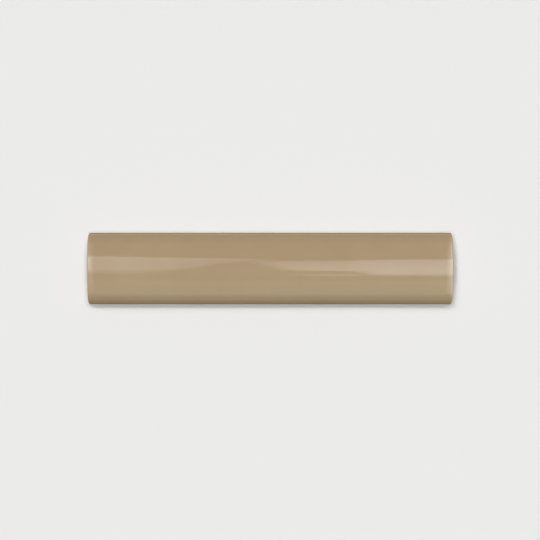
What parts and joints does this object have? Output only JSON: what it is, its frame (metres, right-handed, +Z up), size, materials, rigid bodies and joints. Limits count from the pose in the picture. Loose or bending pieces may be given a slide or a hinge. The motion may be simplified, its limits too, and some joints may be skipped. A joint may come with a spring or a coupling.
{
  "type": "external corner trim tile",
  "caption": "Glazed ceramic corner trim: a long crowned strip whose keyed V channel sits over the outside corner of a tiled wall.",
  "frame": {"origin": "middle of the footprint, on the level of the two feet that the tile rests on", "axes": "+X along the strip, +Y across it, +Z up from the feet to the glazed crown"},
  "size_m": [0.15, 0.0296, 0.0122],
  "materials": {
    "beige_glaze": "gloss glaze, fawn beige, with bare biscuit clay on the feet and in the channel"
  },
  "bodies": {
    "root": {"corner_trim_tile": "beige_glaze"}
  },
  "joints": []
}
